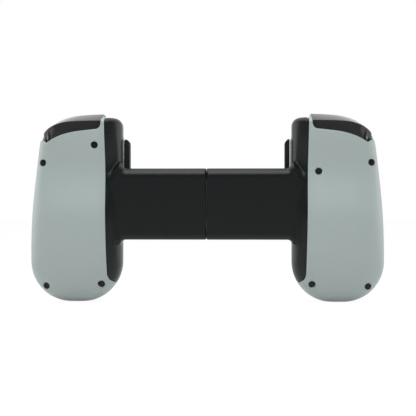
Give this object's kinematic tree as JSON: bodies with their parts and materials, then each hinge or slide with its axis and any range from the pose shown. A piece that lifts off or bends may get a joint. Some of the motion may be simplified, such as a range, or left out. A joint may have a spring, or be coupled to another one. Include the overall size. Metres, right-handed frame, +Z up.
{
  "type": "mobile game controller",
  "caption": "Telescoping phone game controller: two grips with sticks, buttons and triggers on a sprung dark bridge that opens to hold a phone.",
  "frame": {"origin": "middle of the standing controller's footprint, at the foot of the grips", "axes": "+X along the bridge to the left grip as held, +Y from the back to the front, +Z up to the triggers"},
  "size_m": [0.176, 0.034, 0.0936],
  "materials": {
    "cover": "fine moulded grain",
    "housing": "soft-touch satin",
    "rubber": "matt",
    "gloss_trim": "polished",
    "button_plastic": "satin",
    "inner_plastic": "as moulded",
    "silicone": "matt",
    "steel": "brushed",
    "screw_steel": "blackened",
    "board": "lacquered",
    "ribbon": "film"
  },
  "bodies": {
    "slide_frame": {"slide_plate": "steel", "flex_cable": "ribbon"},
    "pinion": {"pinion": "inner_plastic"},
    "right_half": {"right_rear_cover": "cover", "right_front_shell": "cover", "right_bridge_housing": "housing", "right_bridge_cover": "housing", "right_phone_pad": "rubber", "right_trigger_pin": "steel", "right_trigger_spring": "steel", "right_bumper_pin": "steel", "right_bumper_switch": "inner_plastic", "right_circuit_board": "board", "right_stick_module": "steel", "right_rack": "inner_plastic", "right_return_spring": "steel", "right_cover_screws": "screw_steel", "button_membrane": "silicone", "phone_plug": "steel", "charging_socket": "steel"},
    "left_half": {"left_rear_cover": "cover", "left_front_shell": "cover", "left_bridge_housing": "housing", "left_bridge_cover": "housing", "left_phone_pad": "rubber", "left_trigger_pin": "steel", "left_trigger_spring": "steel", "left_bumper_pin": "steel", "left_bumper_switch": "inner_plastic", "left_circuit_board": "board", "left_stick_module": "steel", "left_rack": "inner_plastic", "left_return_spring": "steel", "left_cover_screws": "screw_steel", "direction_seat": "inner_plastic", "direction_membrane": "silicone", "headphone_socket": "inner_plastic"},
    "right_trigger": {"right_trigger": "gloss_trim"},
    "right_bumper": {"right_bumper": "gloss_trim"},
    "right_stick_carriage": {"right_stick_carriage": "inner_plastic"},
    "right_stick_yoke": {"right_stick_yoke": "inner_plastic"},
    "right_stick": {"right_stick_lever": "inner_plastic", "right_stick_cap": "rubber"},
    "left_trigger": {"left_trigger": "gloss_trim"},
    "left_bumper": {"left_bumper": "gloss_trim"},
    "left_stick_carriage": {"left_stick_carriage": "inner_plastic"},
    "left_stick_yoke": {"left_stick_yoke": "inner_plastic"},
    "left_stick": {"left_stick_lever": "inner_plastic", "left_stick_cap": "rubber"},
    "upper_face_button": {"upper_face_button": "button_plastic"},
    "lower_face_button": {"lower_face_button": "button_plastic"},
    "inner_face_button": {"inner_face_button": "button_plastic"},
    "outer_face_button": {"outer_face_button": "button_plastic"},
    "menu_button": {"menu_button": "button_plastic"},
    "home_button": {"home_button": "button_plastic"},
    "options_button": {"options_button": "button_plastic"},
    "capture_button": {"capture_button": "button_plastic"},
    "direction_ball": {"direction_pivot": "steel"},
    "direction_pad": {"direction_pad": "button_plastic"}
  },
  "joints": [
    {"name": "left_extend", "type": "slide", "parent": "slide_frame", "child": "left_half", "axis": [1, 0, 0], "range_m": [0, 0.043], "stiffness_N_per_m": 60, "springref_m": -0.04, "deforming": ["left_return_spring", "flex_cable"]},
    {"name": "right_extend", "type": "slide", "parent": "slide_frame", "child": "right_half", "axis": [-1, 0, 0], "range_m": [0, 0.043], "deforming": ["right_return_spring"]},
    {"name": "pinion_turn", "type": "hinge", "parent": "slide_frame", "child": "pinion", "pos_m": [0, -0.0069, 0.0485], "axis": [0, 1, 0], "range_deg": [0, 490]},
    {"name": "right_trigger_pull", "type": "hinge", "parent": "right_half", "child": "right_trigger", "pos_m": [-0.066, -0.0012, 0.083], "axis": [1, 0, 0], "range_deg": [0, 11], "stiffness_Nm_per_rad": 0.12, "springref_deg": -17.19, "deforming": ["right_trigger_spring"]},
    {"name": "right_bumper_press", "type": "hinge", "parent": "right_half", "child": "right_bumper", "pos_m": [-0.0537, 0.004, 0.0884], "axis": [0, -1, 0], "range_deg": [0, 1.2], "stiffness_Nm_per_rad": 0.6, "springref_deg": -1.72},
    {"name": "right_stick_press", "type": "slide", "parent": "right_half", "child": "right_stick_carriage", "axis": [0, -1, 0], "range_m": [0, 0.0004], "stiffness_N_per_m": 900, "springref_m": -0.0012},
    {"name": "right_stick_nod", "type": "hinge", "parent": "right_stick_carriage", "child": "right_stick_yoke", "pos_m": [-0.063, 0.0014, 0.035], "axis": [1, 0, 0], "range_deg": [-16, 16], "stiffness_Nm_per_rad": 0.03},
    {"name": "right_stick_sway", "type": "hinge", "parent": "right_stick_yoke", "child": "right_stick", "pos_m": [-0.063, 0.0014, 0.035], "axis": [0, 0, 1], "range_deg": [-16, 16], "stiffness_Nm_per_rad": 0.03},
    {"name": "left_trigger_pull", "type": "hinge", "parent": "left_half", "child": "left_trigger", "pos_m": [0.066, -0.0012, 0.083], "axis": [1, 0, 0], "range_deg": [0, 11], "stiffness_Nm_per_rad": 0.12, "springref_deg": -17.19, "deforming": ["left_trigger_spring"]},
    {"name": "left_bumper_press", "type": "hinge", "parent": "left_half", "child": "left_bumper", "pos_m": [0.0537, 0.004, 0.0884], "axis": [0, 1, 0], "range_deg": [0, 1.2], "stiffness_Nm_per_rad": 0.6, "springref_deg": -1.72},
    {"name": "left_stick_press", "type": "slide", "parent": "left_half", "child": "left_stick_carriage", "axis": [0, -1, 0], "range_m": [0, 0.0004], "stiffness_N_per_m": 900, "springref_m": -0.0012},
    {"name": "left_stick_nod", "type": "hinge", "parent": "left_stick_carriage", "child": "left_stick_yoke", "pos_m": [0.0675, 0.0014, 0.066], "axis": [1, 0, 0], "range_deg": [-16, 16], "stiffness_Nm_per_rad": 0.03},
    {"name": "left_stick_sway", "type": "hinge", "parent": "left_stick_yoke", "child": "left_stick", "pos_m": [0.0675, 0.0014, 0.066], "axis": [0, 0, 1], "range_deg": [-16, 16], "stiffness_Nm_per_rad": 0.03},
    {"name": "upper_face_press", "type": "slide", "parent": "right_half", "child": "upper_face_button", "axis": [0, -1, 0], "range_m": [0, 0.0012], "stiffness_N_per_m": 250, "springref_m": -0.0015, "deforming": ["button_membrane"]},
    {"name": "lower_face_press", "type": "slide", "parent": "right_half", "child": "lower_face_button", "axis": [0, -1, 0], "range_m": [0, 0.0012], "stiffness_N_per_m": 250, "springref_m": -0.0015},
    {"name": "inner_face_press", "type": "slide", "parent": "right_half", "child": "inner_face_button", "axis": [0, -1, 0], "range_m": [0, 0.0012], "stiffness_N_per_m": 250, "springref_m": -0.0015},
    {"name": "outer_face_press", "type": "slide", "parent": "right_half", "child": "outer_face_button", "axis": [0, -1, 0], "range_m": [0, 0.0012], "stiffness_N_per_m": 250, "springref_m": -0.0015},
    {"name": "menu_press", "type": "slide", "parent": "right_half", "child": "menu_button", "axis": [0, -1, 0], "range_m": [0, 0.0005], "stiffness_N_per_m": 250, "springref_m": -0.0015},
    {"name": "home_press", "type": "slide", "parent": "right_half", "child": "home_button", "axis": [0, -1, 0], "range_m": [0, 0.0005], "stiffness_N_per_m": 250, "springref_m": -0.0015},
    {"name": "options_press", "type": "slide", "parent": "left_half", "child": "options_button", "axis": [0, -1, 0], "range_m": [0, 0.0005], "stiffness_N_per_m": 250, "springref_m": -0.0015},
    {"name": "capture_press", "type": "slide", "parent": "left_half", "child": "capture_button", "axis": [0, -1, 0], "range_m": [0, 0.0005], "stiffness_N_per_m": 250, "springref_m": -0.0015},
    {"name": "direction_nod", "type": "hinge", "parent": "left_half", "child": "direction_ball", "pos_m": [0.063, 0.0032, 0.035], "axis": [1, 0, 0], "range_deg": [-4, 4], "stiffness_Nm_per_rad": 0.15, "deforming": ["direction_membrane"]},
    {"name": "direction_sway", "type": "hinge", "parent": "direction_ball", "child": "direction_pad", "pos_m": [0.063, 0.0032, 0.035], "axis": [0, 0, 1], "range_deg": [-4, 4], "stiffness_Nm_per_rad": 0.15}
  ],
  "couplings": [
    {"joint": "right_extend", "follows": "left_extend", "ratio": 1},
    {"joint": "pinion_turn", "follows": "left_extend", "rad_per_m": 198.41}
  ]
}
